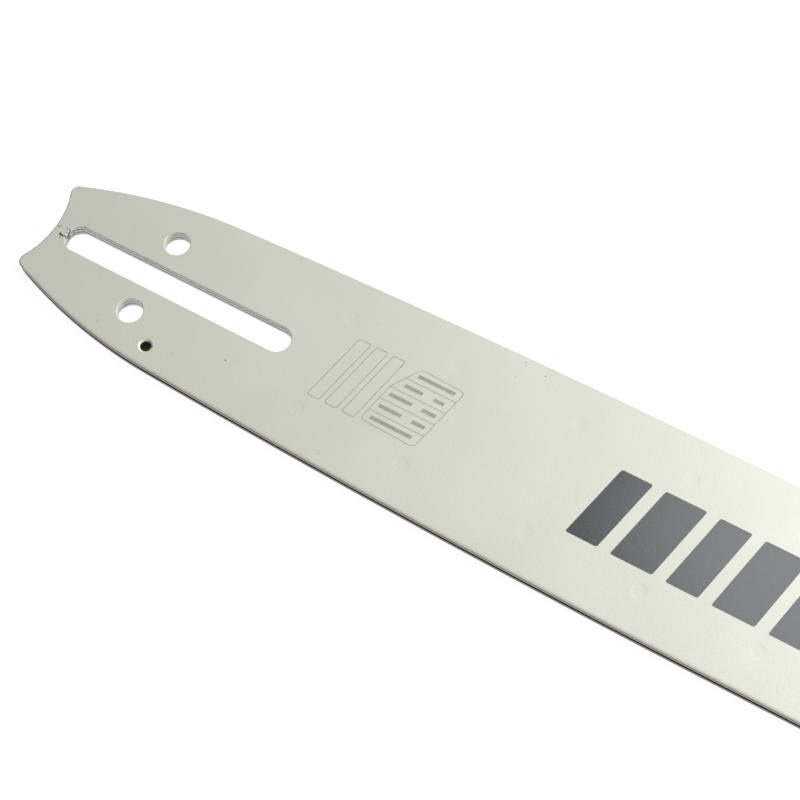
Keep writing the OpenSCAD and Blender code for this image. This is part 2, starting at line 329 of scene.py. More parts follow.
class Surface:
    """Points, faces and the finish of each face, gathered strip by strip."""

    def __init__(self):
        self.points, self.quads, self.triangles = [], [], []
        self.quad_finish, self.triangle_finish = [], []
        self.count = 0

    def add(self, points):
        """Adds points and returns their numbers in the points' own arrangement."""
        points = np.asarray(points, float)
        ids = np.arange(self.count, self.count + points[..., 0].size).reshape(points.shape[:-1])
        self.points.append(points.reshape(-1, 3))
        self.count += ids.size
        return ids

    def strips(self, rings, finish, closed=False):
        """Quads between each ring of points and the next one; closed joins the last ring to the first."""
        a, b = (rings, np.roll(rings, -1, axis=0)) if closed else (rings[:-1], rings[1:])
        quads = np.stack([a, b, np.roll(b, -1, axis=1), np.roll(a, -1, axis=1)], axis=-1)
        if np.ndim(finish) == 1:
            finish = np.reshape(finish, (-1, 1))
        finish = np.broadcast_to(finish, a.shape)
        self.quads.append(quads.reshape(-1, 4))
        self.quad_finish.append(finish.ravel())

    def carry(self, path, profile, finish, closed=False):
        """A profile of (distance into the material, height) carried along a closed path, which has its
        material on the left. The profile runs from the outer face down, so the faces point outwards.
        Both may vary along the path: row i stands at path_j + inward_j * distance_ij, at height_ij."""
        spread = [[np.broadcast_to(row[i], len(path)) for row in profile] for i in (0, 1)]
        distance, height = np.array(spread)
        flat = path[None] + inward(path)[None] * distance[:, :, None]
        rings = self.add(np.concatenate([flat, height[:, :, None]], axis=-1))
        self.strips(rings, finish, closed)
        return rings

    def fan(self, ring, centre, finish, flip=False):
        """Triangles from the centre to each side of a ring."""
        middle = np.full(len(ring), self.add(centre))
        after = np.roll(ring, -1)
        three = [middle, after, ring] if flip else [middle, ring, after]
        self.triangles.append(np.column_stack(three))
        self.triangle_finish.append(np.full(len(ring), finish))

    def fill(self, rings, finish, up=True):
        """A flat face between an outer ring and the rings of its holes, by constrained triangulation."""
        ids = np.concatenate(rings)
        flat = np.concatenate(self.points)[ids, :2] / MM
        ends = np.cumsum([len(r) for r in rings])
        loops = [list(range(end - len(r), end)) for r, end in zip(rings, ends)]
        loops = loops[:1] + [loop[::-1] for loop in loops[1:]]
        result = delaunay_2d_cdt([Vector(p) for p in flat.tolist()], [], loops, 1, 1e-6, True)
        crossed = [tuple(p) for p, origin in zip(result[0], result[3]) if not origin]
        if crossed:
            raise ValueError(f"two edges of a flat face cross, in mm: {crossed[:8]}")
        kept = [face for face, inside in zip(result[2], result[5]) if inside == [0]]
        source = np.array([origin[0] for origin in result[3]])
        faces = source[np.array(kept)]
        a, b, c = (flat[faces[:, i]] for i in range(3))
        turned = (b - a)[:, 0] * (c - a)[:, 1] - (b - a)[:, 1] * (c - a)[:, 0] < 0
        wrong = turned if up else ~turned
        faces[wrong] = faces[wrong][:, ::-1]
        self.triangles.append(ids[faces])
        self.triangle_finish.append(np.full(len(faces), finish))

    def piece(self, name, materials, place=None, sharp=35):
        """The finished mesh object; place maps its points to their place, and sharp is in degrees."""
        points = np.concatenate(self.points)
        if place is not None:
            points = place(points)
        quads = np.concatenate(self.quads) if self.quads else np.zeros((0, 4), int)
        triangles = np.concatenate(self.triangles) if self.triangles else np.zeros((0, 3), int)
        finish = np.concatenate(self.quad_finish + self.triangle_finish)
        corners = np.concatenate([quads.ravel(), triangles.ravel()])
        starts = np.concatenate([np.arange(len(quads)) * 4, quads.size + np.arange(len(triangles)) * 3])
        mesh = bpy.data.meshes.new(name)
        mesh.vertices.add(len(points))
        mesh.vertices.foreach_set("co", points.astype(np.float32).ravel())
        mesh.loops.add(len(corners))
        mesh.loops.foreach_set("vertex_index", corners.astype(np.int32))
        mesh.polygons.add(len(starts))
        mesh.polygons.foreach_set("loop_start", starts.astype(np.int32))
        mesh.polygons.foreach_set("material_index", finish.astype(np.int32))
        mesh.polygons.foreach_set("use_smooth", np.ones(len(starts), bool))
        mesh.update(calc_edges=True)
        mesh.validate()
        mesh.set_sharp_from_angle(angle=math.radians(sharp))
        for material in materials:
            mesh.materials.append(material)
        thing = bpy.data.objects.new(name, mesh)
        bpy.context.scene.collection.objects.link(thing)
        return thing


def slab(surface, path, low, high):
    """A flat solid under a convex anticlockwise path: its wall and two fans."""
    rings = surface.carry(path, [(0, high), (0, low)], 0)
    middle = path.mean(axis=0)
    surface.fan(rings[0], [*middle, high], 0)
    surface.fan(rings[1], [*middle, low], 0, flip=True)


def line_loop(surface, path, width, low, high):
    """A raised line along a closed path: a small rectangle carried round it."""
    h = width / 2
    surface.carry(path, [(h, high), (-h, high), (-h, low), (h, low)], 0, closed=True)


# Materials


def node(tree, kind, inputs=None, **values):
    """Adds one node, sets its properties, and sets or links its inputs."""
    new = tree.nodes.new(kind)
    for key, value in values.items():
        setattr(new, key, value)
    for key, value in (inputs or {}).items():
        if isinstance(value, bpy.types.NodeSocket):
            tree.links.new(value, new.inputs[key])
        else:
            new.inputs[key].default_value = value
    return new


def finish_material(name, base, metallic, roughness, **sockets):
    """A material with its shader set, returned with its node tree, shader and Object coordinates."""
    material = bpy.data.materials.new(name)
    material.use_nodes = True
    tree = material.node_tree
    shader = tree.nodes["Principled BSDF"]
    shader.inputs["Base Color"].default_value = base
    shader.inputs["Metallic"].default_value = metallic
    shader.inputs["Roughness"].default_value = roughness
    for key, value in sockets.items():
        shader.inputs[key].default_value = value
    place = node(tree, "ShaderNodeTexCoord").outputs["Object"]
    return material, tree, shader, place


def grain(tree, place, size, stretch=(1, 1, 1), detail=2.0, roughness=0.5):
    """Noise whose features are size across, drawn out by stretch along X, Y and Z."""
    scale = [1 / (size * s) for s in stretch]
    mapped = node(tree, "ShaderNodeMapping", {"Vector": place, "Scale": scale})
    return node(
        tree,
        "ShaderNodeTexNoise",
        {"Vector": mapped.outputs[0], "Scale": 1.0, "Detail": detail, "Roughness": roughness},
    ).outputs["Fac"]


def ranged(tree, value, low, high, to_low, to_high):
    """Maps a value from low..high to to_low..to_high, smoothly and held at both ends."""
    inputs = {"Value": value, "From Min": low, "From Max": high, "To Min": to_low, "To Max": to_high}
    return node(tree, "ShaderNodeMapRange", inputs, interpolation_type="SMOOTHSTEP").outputs["Result"]


def blended(tree, factor, a, b):
    """Colour that goes from a to b with the factor."""
    mix = node(tree, "ShaderNodeMix", data_type="RGBA")
    tree.links.new(factor, mix.inputs["Factor"])
    for key, value in (("A", a), ("B", b)):
        socket = next(s for s in mix.inputs if s.name == key and s.type == "RGBA")
        if isinstance(value, bpy.types.NodeSocket):
            tree.links.new(value, socket)
        else:
            socket.default_value = value
    return next(s for s in mix.outputs if s.type == "RGBA")


def mottled(tree, shader, pattern, low, high, dark, pale):
    """Base colour that goes from dark to pale as the pattern rises from low to high."""
    base = blended(tree, ranged(tree, pattern, low, high, 0.0, 1.0), dark, pale)
    tree.links.new(base, shader.inputs["Base Color"])


def bumped(tree, shader, height, strength, distance):
    """Lets a height tilt the surface."""
    inputs = {"Height": height, "Strength": strength, "Distance": distance}
    tree.links.new(node(tree, "ShaderNodeBump", inputs).outputs["Normal"], shader.inputs["Normal"])


def shade(value, factor):
    """The colour with its red, green and blue multiplied by factor."""
    return [channel * factor for channel in value[:3]] + [1.0]


def paint_material(finishes):
    """Baked enamel, sprayed: pale warm grey and satin, with fine orange peel, faint clouds and dust."""
    paint = list(finishes.paint)
    material, tree, shader, place = finish_material("sprayed_enamel", paint, 0.0, 0.42, IOR=1.5)
    clouds = ranged(tree, grain(tree, place, 45 * MM, detail=3.0), 0.35, 0.65, 0.0, 1.0)
    base = blended(tree, clouds, shade(paint, 0.975), shade(paint, 1.012))
    dust = node(
        tree, "ShaderNodeTexVoronoi", {"Vector": place, "Scale": 1 / (5 * MM), "Randomness": 1.0}
    ).outputs["Distance"]
    specks = ranged(tree, dust, 0.02, 0.045, 0.5, 0.0)
    base = blended(tree, specks, base, shade(paint, 0.72))
    tree.links.new(base, shader.inputs["Base Color"])
    tree.links.new(
        ranged(tree, grain(tree, place, 18 * MM), 0.3, 0.7, 0.38, 0.46), shader.inputs["Roughness"]
    )
    # Orange peel is about 0.8 mm from crest to crest.
    bumped(tree, shader, grain(tree, place, 0.8 * MM, detail=4.0, roughness=0.6), 0.9, 0.05 * MM)
    return material


def edge_shade_material(finishes):
    """Enamel on a rolled edge, 0.85 times as light as the face paint: painted shade, so that the edge reads
    as a dark line. It is darker still along the tail and round its near corner, also painted shade.
    """
    grey = shade(list(finishes.paint), 0.85)
    material, tree, shader, place = finish_material("enamel_edge_painted_shade", grey, 0.0, 0.5, IOR=1.4)
    wear = grain(tree, place, 2 * MM, detail=3.0)
    base = blended(tree, ranged(tree, wear, 0.35, 0.65, 0.0, 1.0), shade(grey, 0.92), shade(grey, 1.06))
    # Painted shade: the edge darkens along the tail, and almost to black round the near corner, which face
    # away from the key light.
    base = blended(tree, spots(tree, place, TAIL_PAINTED_SHADE, 0.1, 0.4), base, shade(grey, 0.42))
    base = blended(tree, spots(tree, place, CORNER_PAINTED_SHADE, 0.1, 0.4), base, shade(grey, 0.1))
    tree.links.new(base, shader.inputs["Base Color"])
    return material


# Places and radii of the painted shade along the tail's edge and round its near corner, in millimetres
TAIL_PAINTED_SHADE = ((-10.0, -5.0, 4.5, 9.0), (-12.5, 15.0, 4.5, 3.0))
CORNER_PAINTED_SHADE = ((-12.5, -14.8, 4.5, 3.1),)


# Places and radii of the spots where the enamel is off the slot's wall, in millimetres
WALL_FLAKES = (
    (-4.35, -1.5, 4.2, 0.42), (-4.5, -0.96, 3.4, 0.42), (-4.58, -0.5, 2.8, 0.45), (-4.6, 0.0, 2.5, 0.6),
    (-4.58, 0.5, 3.5, 0.55), (-4.44, 1.19, 4.2, 0.38), (-4.06, 2.16, 2.5, 0.34), (-4.6, 0.16, 1.27, 0.25),
    (22.3, 4.6, 3.3, 0.3), (45.7, 4.6, 2.5, 0.24), (46.4, 4.6, 2.5, 0.24), (48.7, 4.6, 2.5, 0.24),
    (43.0, 4.6, 2.9, 0.2),
)  # fmt: skip


# Place and radius of the spot where the slot's end is darker at its foot, in millimetres
SLOT_END_FOOT_DARKENING = ((-4.5, -0.9, 0.3, 1.6),)


def spots(tree, place, places, ragged, soft):
    """Mask of spots: 1 within each spot's radius of its centre, with a border that is ragged and soft by
    these shares of the radius."""
    nearest = None
    for x, y, z, r in places:
        ends = {0: place, 1: (x * MM, y * MM, z * MM)}
        away = node(tree, "ShaderNodeVectorMath", ends, operation="DISTANCE").outputs["Value"]
        share = node(tree, "ShaderNodeMath", {0: away, 1: 1 / (r * MM)}, operation="MULTIPLY")
        if nearest is None:
            nearest = share.outputs[0]
        else:
            both = {0: nearest, 1: share.outputs[0]}
            nearest = node(tree, "ShaderNodeMath", both, operation="MINIMUM").outputs[0]
    stir = ranged(tree, grain(tree, place, 0.35 * MM, detail=2.0), 0.3, 0.7, -ragged, ragged)
    edge = node(tree, "ShaderNodeMath", {0: nearest, 1: stir}, operation="ADD").outputs[0]
    return ranged(tree, edge, 1 - soft, 1 + soft, 1.0, 0.0)


def wall_material(name, finishes, tone):
    """Thin enamel that lets the cut steel shine through: duller than the face, with fine lines that run
    round the opening, spots where a loose stud has knocked it off, and a darker patch at the foot of the
    slot's end."""
    wall = shade(list(finishes.wall), tone)
    material, tree, shader, place = finish_material(name, wall, 0.34, 0.16, IOR=1.5)
    lines = grain(tree, place, 0.3 * MM, stretch=(20, 20, 1), detail=2.0)
    base = blended(tree, ranged(tree, lines, 0.35, 0.65, 0.0, 1.0), shade(wall, 0.84), shade(wall, 1.06))
    # Half as light at the foot of the slot's round end.
    base = blended(tree, spots(tree, place, SLOT_END_FOOT_DARKENING, 0.15, 0.35), base, shade(wall, 0.5))
    base = blended(tree, spots(tree, place, WALL_FLAKES, 0.35, 0.12), base, linear("#2A2922"))
    tree.links.new(base, shader.inputs["Base Color"])
    bumped(tree, shader, lines, 0.2, 0.03 * MM)
    return material


def rail_material(name, finishes, tone):
    """Ground and hardened rail steel: beige grey, with fine lines along the rail."""
    steel = shade(list(finishes.steel), tone)
    material, tree, shader, place = finish_material(name, steel, 1.0, 0.36)
    # Grinding lines 0.08 mm apart are drawn at 0.12 mm so that they show.
    lines = grain(tree, place, 0.12 * MM, stretch=(150, 150, 1), detail=2.0)
    mottled(tree, shader, lines, 0.35, 0.65, shade(steel, 0.78), shade(steel, 1.1))
    tree.links.new(ranged(tree, lines, 0.3, 0.7, 0.3, 0.44), shader.inputs["Roughness"])
    bumped(tree, shader, lines, 0.25, 0.02 * MM)
    return material


def oiled_material(name, finishes, tone):
    """Rolled steel under old oil: dark brown grey, patchy, half dull."""
    steel = shade(list(finishes.dark_steel), tone)
    material, tree, shader, place = finish_material(name, steel, 0.5, 0.6)
    stain = grain(tree, place, 3 * MM, stretch=(2, 1, 1), detail=4.0, roughness=0.6)
    mottled(tree, shader, stain, 0.35, 0.65, shade(steel, 0.6), shade(steel, 1.2))
    tree.links.new(ranged(tree, stain, 0.3, 0.7, 0.62, 0.4), shader.inputs["Roughness"])
    return material


def bright_material(name, finishes, tone, roughness, size, stretch=(1, 1, 1)):
    """Cut or polished steel: pale and even, with fine tool marks of the size that is given."""
    steel = shade(list(finishes.bright_steel), tone)
    material, tree, shader, place = finish_material(name, steel, 1.0, roughness)
    marks = grain(tree, place, size, stretch=stretch, detail=3.0)
    mottled(tree, shader, marks, 0.35, 0.65, shade(steel, 0.86), shade(steel, 1.05))
    tree.links.new(
        ranged(tree, marks, 0.3, 0.7, roughness - 0.06, roughness + 0.08), shader.inputs["Roughness"]
    )
    bumped(tree, shader, marks, 0.2, 0.02 * MM)
    return material


def chip_material():
    """Bare steel in a paint chip: almost black with rust and dirt."""
    material, tree, shader, place = finish_material("chipped_to_dirty_steel", linear("#2E2C26"), 0.4, 0.6)
    rust = grain(tree, place, 0.3 * MM, detail=3.0)
    mottled(tree, shader, rust, 0.4, 0.7, linear("#1E1D18"), linear("#4A4437"))
    return material


def chip_rim_material():
    """Broken edge of the paint film: dry, chalky and paler than the face."""
    material, tree, shader, place = finish_material("broken_paint_edge", linear("#E4E4D8"), 0.0, 0.7)
    chalk = grain(tree, place, 0.25 * MM)
    mottled(tree, shader, chalk, 0.3, 0.7, linear("#D2D1C4"), linear("#F0F0E6"))
    return material


def lip_material(finishes):
    """Enamel that has crept back over a countersink: smooth and glossy, 1.22 times as light as the face
    paint as a painted highlight, so that the ring reads bright all round.
    """
    pale = shade(list(finishes.paint), 1.22)
    material, tree, shader, place = finish_material("countersink_enamel_painted_highlight", pale, 0.0, 0.28, IOR=1.5)
    creep = grain(tree, place, 0.8 * MM)
    mottled(tree, shader, creep, 0.35, 0.65, shade(pale, 0.92), shade(pale, 1.04))
    return material


def oil_wall_material():
    """Steel that bar oil has blackened: wet and almost black, so it shines along one side of the hole."""
    material, tree, shader, place = finish_material("oil_blackened_steel", linear("#1A1D1E"), 0.3, 0.34)
    film = grain(tree, place, 0.7 * MM, stretch=(1, 1, 3), detail=3.0)
    mottled(tree, shader, film, 0.35, 0.65, linear("#111415"), linear("#2A2D2D"))
    tree.links.new(ranged(tree, film, 0.3, 0.7, 0.26, 0.42), shader.inputs["Roughness"])
    return material


def print_material(name, ink, roughness):
    """Screen printed ink: even and a little glossy, with a faint grain from the screen."""
    ink = list(ink)
    material, tree, shader, place = finish_material(name, ink, 0.0, roughness, IOR=1.5)
    screen = grain(tree, place, 0.5 * MM)
    mottled(tree, shader, screen, 0.35, 0.65, shade(ink, 0.8), shade(ink, 1.1))
    bumped(tree, shader, grain(tree, place, 1.0 * MM), 0.1, 0.02 * MM)
    return material


# Pieces


def weld_places(outline, openings, nose):
    """Centre of each spot weld: gangs of three along both sides of the bar's middle."""
    k = bar_lines(outline)
    chain_r = nose.chain_pitch / (2 * math.sin(math.radians(90 / nose.teeth)))
    last = k["nose_x"] - (chain_r - nose.tip_drop + nose.pocket_gap) - openings.weld_edge
    beside_slot = openings.slot_w / 2 + openings.weld_slot_gap + openings.weld_d / 2
    slot_end = openings.slot_travel + openings.slot_w / 2
    places = []
    for gang in range(-1, 5):
        for weld in range(3):
            x = openings.gang_x + gang * openings.gang_pitch + weld * openings.weld_pitch
            if 0 < x < last:
                y = beside_slot if x < slot_end else half_width(outline, x) - openings.weld_edge
                places += [(x, -y), (x, y)]
    return places


def edge_round(reach, drop, top, steps):
    """Quarter of an ellipse from the face down to the wall, as (distance in, height)."""
    angles = np.radians(np.linspace(0, 90, steps + 1))
    return [(reach * (1 - np.sin(a)), top - drop * (1 - np.cos(a))) for a in angles]


def cut_opening(surface, path, top, edges, support, chamfer, worn=None):
    """A cut wall with a rounded painted edge and a chamfer at the seam; returns its two face rings.
    The enamel is off the rounded edge at the points of the path that are worn."""
    curve = edge_round(edges.hole_round, edges.hole_round, top, 5)
    foot = [(0, chamfer), (chamfer, 0), (chamfer + support, 0)]
    profile = [(edges.hole_round + support, top), *curve, *foot]
    finish = np.repeat([[PAINT], [WALL], [INSIDE]], [6, 1, 2], axis=0) * np.ones(len(path), int)
    if worn is not None:
        finish[:6, worn] = CHIP
    rings = surface.carry(path, profile, finish)
    return rings[0], rings[-1]


# Flakes that have come off the paint: width in millimetres, whether the steel shows or only the pale
# broken film, and the points of the line that the flake follows
CHIPS = (
    (0.78, True, (-6.55, -0.85), (-6.05, -1.85)), (0.3, True, (-5.85, -2.15), (-5.6, -2.7)),
    (0.56, True, (-5.75, -1.22), (-5.4, -1.45), (-4.97, -1.64)), (0.5, True, (-8.55, 0.65), (-8.15, 1.05)),
    (0.24, True, (-7.9, 1.3), (-7.65, 1.65)), (0.26, True, (-5.8, 1.7), (-5.22, 1.33)),
    (0.4, False, (-7.4, 1.8), (-6.9, 1.9)), (0.36, False, (-5.85, -0.8), (-5.62, -0.3)),
    (0.36, False, (-5.2, -2.05), (-5.0, -2.5)), (0.36, False, (-0.9, 5.4), (-0.3, 5.45)),
    (0.22, True, (21.7, -21.7), (21.95, -21.5)), (0.18, True, (48.3, -20.1), (48.5, -20.1)),
    (0.44, True, (63.95, -14.3), (64.45, -14.2)), (0.2, True, (66.4, -13.6), (66.6, -13.6)),
    (0.2, True, (99.8, 19.5), (100.0, 19.5)), (0.2, True, (104.8, -27.4), (105.0, -27.2)),
    (0.2, True, (103.4, 1.5), (103.6, 1.5)), (0.22, True, (145.9, 24.2), (146.1, 24.3)),
    (0.24, True, (146.6, 30.3), (146.95, 30.4)), (0.3, True, (154.0, 29.0), (154.35, 29.0)),
)  # fmt: skip


def plate_surface(outline, openings, nose, edges, upper):
    """One side plate with its inner face at height 0 and its outer face up: a wall carried along the
    outline and round each hole, a dish at each weld, and two flat faces between them. The upper plate
    has the chipped paint, and the edge along its near flank is worn round."""
    s = Surface()
    k = bar_lines(outline)
    top = outline.plate_t - edges.film_t
    support, c = 0.25 * MM, edges.seam_chamfer
    path = bar_outline(outline)
    x, y = path.T / MM
    worn = smooth((x + 12.5) / 9) * smooth((-y - 8) / 6) * upper
    reach = edges.edge_reach + (edges.roll_reach - edges.edge_reach) * worn
    drop = edges.edge_drop + (edges.roll_drop - edges.edge_drop) * worn
    r = edges.rail_chamfer
    profile = [(reach + support, top), *edge_round(reach, drop, top, 9), (0, r), (r, 0), (support, 0)]
    tail = path[:, 0] < k["corner"][0] + 0.5 * MM
    bare = np.where(tail, WALL, RAIL)
    round_tail = (path[:, 0] < k["corner"][0]) | (np.abs(path[:, 1]) < k["corner"][1])
    # Painted shade: the tail's rounded edge, and the steep rows of every rolled edge, take the darker edge
    # enamel.
    tail_shade = np.where(tail & round_tail, SHADED_EDGE, PAINT)
    whole = np.ones(len(path), int)
    rows = [PAINT * whole] + [tail_shade] * 5 + [SHADED_EDGE * whole] * 4 + [bare, bare, INSIDE * whole]
    rings = s.carry(path, profile, np.array(rows))
    faces, undersides = [rings[0]], [rings[-1]]

    holes = [slot_path(openings)]
    round_end = np.degrees(np.arctan2(holes[0][:, 1], holes[0][:, 0])) % 360
    # Angle and half width, in degrees, of the places where the rim of the slot's round end is bare
    bare_places = ((198, 4), (179, 2), (166, 2), (101, 2))
    bare_rim = np.any([abs(round_end - a) < span for a, span in bare_places], axis=0)
    bare_rim &= holes[0][:, 0] < 0
    for side in (-1, 1):
        centre = [openings.adjuster_x, side * openings.adjuster_spacing / 2]
        holes.append(circle(centre, openings.adjuster_d / 2, 96))
    holes.append(circle([k["nose_x"] - nose.roller_ring_r, 0], nose.grease_d / 2, 40))
    for hole in holes:
        if hole is holes[0]:
            face, under = cut_opening(s, hole, top, edges, support, c, bare_rim if upper else None)
        else:
            face, under = cut_opening(s, hole, top, edges, support, edges.hole_chamfer)
        faces.append(face)
        undersides.append(under)

    oil_y = openings.oil_edge - half_width(outline, openings.oil_x)
    oil = circle([openings.oil_x, oil_y], openings.oil_d / 2, 56)
    sink = openings.oil_sink
    profile = [
        (sink + 0.3 * MM, top), (sink + 0.1 * MM, top), (sink, top - 0.06 * MM),
        (0.05 * MM, top - sink), (0, top - sink - 0.06 * MM), (0, c), (c, 0), (c + support, 0),
    ]  # fmt: skip
    rings = s.carry(oil, profile, [PAINT, LIP, LIP, LIP, OIL_WALL, OIL_WALL, INSIDE])
    faces.append(rings[0])
    undersides.append(rings[-1])

    head = nose.rivet_head_d / 2 + nose.rivet_gap
    neck = head - nose.rivet_d / 2 - nose.rivet_gap
    for a in np.arange(nose.rivets) * 360 / nose.rivets:
        centre = np.array([k["nose_x"], 0]) + nose.rivet_ring_r * directions([a])[0]
        profile = [
            (0.3 * MM, top), (0.12 * MM, top), (0, top - 0.1 * MM),
            (-neck, top - nose.rivet_head_h), (-neck, 0), (0.1 * MM, 0),
        ]  # fmt: skip
        rings = s.carry(circle(centre, head, 48), profile, [PAINT, PAINT, INSIDE, INSIDE, INSIDE])
        faces.append(rings[0])
        undersides.append(rings[-1])

    # A weld's dish sinks by a smooth step from its rim to its flat floor.
    rim = openings.weld_d / 2 + 0.45 * MM
    reach = np.linspace(0, 1, 11)
    step = smooth(reach)
    random = np.random.default_rng(4)
    slot_end = openings.slot_travel + openings.slot_w / 2
    for x, y in weld_places(outline, openings, nose):
        depth = openings.weld_depth * (0.2 if x < slot_end else random.uniform(0.22, 0.42))
        rings = s.carry(circle([x, y], rim, 48), list(zip(-reach * 1.3 * MM, top - depth * step)), PAINT)
        s.fan(rings[-1], [x, y, top - depth], PAINT, flip=True)
        faces.append(rings[0])

    for number, (width, bare, *line) in enumerate(CHIPS if upper else ()):
        line = np.array(line) * MM
        ring, inner = (flake_ring(line, width * MM, number, inset) for inset in (0, 0.12))
        outer_ids = s.add(np.column_stack([ring, np.full(len(ring), top)]))
        inner_ids = s.add(np.column_stack([inner, np.full(len(ring), top - edges.chip_depth)]))
        finish = CHIP if bare else CHIP_RIM
        s.strips(np.array([outer_ids, inner_ids]), finish)
        s.fan(inner_ids, [*inner.mean(axis=0), top - edges.chip_depth], finish, flip=True)
        faces.append(outer_ids)

    s.fill(faces, PAINT)
    s.fill(undersides, INSIDE, up=False)
    return s


def merged_copy(node_name, name, width):
    """A copy of a CAD node with its loose triangles merged and its hard edges chamfered."""
    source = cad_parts[node_name]
    mesh = source.data.copy()
    mesh.name = name
    soup = bmesh.new()
    soup.from_mesh(mesh)
    bmesh.ops.remove_doubles(soup, verts=soup.verts, dist=0.001 * MM)
    bmesh.ops.dissolve_limit(
        soup, angle_limit=math.radians(0.5), verts=soup.verts, edges=soup.edges, delimit={"MATERIAL"}
    )
    soup.to_mesh(mesh)
    soup.free()
    mesh.materials.clear()
    thing = bpy.data.objects.new(name, mesh)
    bpy.context.scene.collection.objects.link(thing)
    chamfer = thing.modifiers.new("edge_break", "BEVEL")
    chamfer.width = width
    chamfer.segments = 1
    chamfer.material = 2
    chamfer.limit_method = "ANGLE"
    chamfer.angle_limit = math.radians(40)
    chamfer.use_clamp_overlap = True
    return thing


def put(thing, body, slot, *nodes):
    """Says which body the piece rides on and hides the nodes that it stands for; slot, its finish, is not
    used.
    """
    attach(thing, body)
    if nodes:
        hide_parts(*nodes)
    return thing


def plate_materials(finishes):
    """Materials of a side plate in the order of its finishes; both plates share them."""
    names = ("sprayed_enamel", "enamel_edge_painted_shade", "thin_enamel_on_cut_steel", "ground_rail_steel",
             "oiled_plate_steel", "countersink_enamel_painted_highlight", "oil_blackened_steel", "chipped_to_dirty_steel",
             "broken_paint_edge")  # fmt: skip
    if names[0] not in bpy.data.materials:
        paint_material(finishes)
        edge_shade_material(finishes)
        wall_material(names[2], finishes, 1.02)
        rail_material(names[3], finishes, 1.0)
        oiled_material(names[4], finishes, 0.6)
        lip_material(finishes)
        oil_wall_material()
        chip_material()
        chip_rim_material()
    return [bpy.data.materials[name] for name in names]


class GUIDEBAR_OT_side_plates(bpy.types.Operator):
    """Builds the two painted side plates, the lower one turned over about the bar's length"""

    bl_idname = "guidebar.side_plates"
    bl_label = "Side Plates"

    def execute(self, context):
        outline, openings, nose, edges, finishes = settings()
        materials = plate_materials(finishes)
        up, over = outline.plate_t + outline.core_t, outline.plate_t
        upper = plate_surface(outline, openings, nose, edges, True).piece(
            "painted_plate_upper", materials, lambda p: p + [0, 0, up]
        )
        lower = plate_surface(outline, openings, nose, edges, False).piece(
            "painted_plate_lower", materials, lambda p: p * [1, -1, -1] + [0, 0, over]
        )
        # Painted shade: the lower plate's rails take the rail steel at 0.6 of its tone, for the shade on the
        # lower side.
        lower.data.materials[RAIL] = rail_material("lower_rail_steel_painted_shade", finishes, 0.6)
        put(upper, "bar", "painted_plate", "side_plate_top")
        put(lower, "bar", "painted_plate", "side_plate_bottom")
        return {"FINISHED"}


class GUIDEBAR_OT_core(bpy.types.Operator):
    """Breaks the edges of the core ply, so that the seams show as dark lines in the slot's wall"""

    bl_idname = "guidebar.core"
    bl_label = "Core Plate"

    def execute(self, context):
        outline, openings, nose, edges, finishes = settings()
        core = merged_copy("core_plate", "core_ply", edges.seam_chamfer)
        core.data.materials.append(oiled_material("oiled_core_steel", finishes, 1.15))
        # Painted light: the core's wall enamel is lighter than the plates' (tone 1.12 against 1.02), for the
        # light that the core ply catches in the openings.
        core.data.materials.append(wall_material("core_wall_enamel_painted_light", finishes, 1.12))
        core.data.materials.append(oiled_material("oil_in_the_seams", finishes, 0.3))
        openings_reach = 0.3 * MM
        for face in core.data.polygons:
            x, y, _ = face.center
            slot_gap = math.hypot(x - min(max(x, 0), openings.slot_travel), y) - openings.slot_w / 2
            off = (x - openings.adjuster_x, abs(y) - openings.adjuster_spacing / 2)
            hole_gap = math.hypot(*off) - openings.adjuster_d / 2
            if abs(face.normal.z) < 0.5 and min(slot_gap, hole_gap) < openings_reach:
                face.material_index = 1
        put(core, "bar", "core_steel", "core_plate")
        return {"FINISHED"}


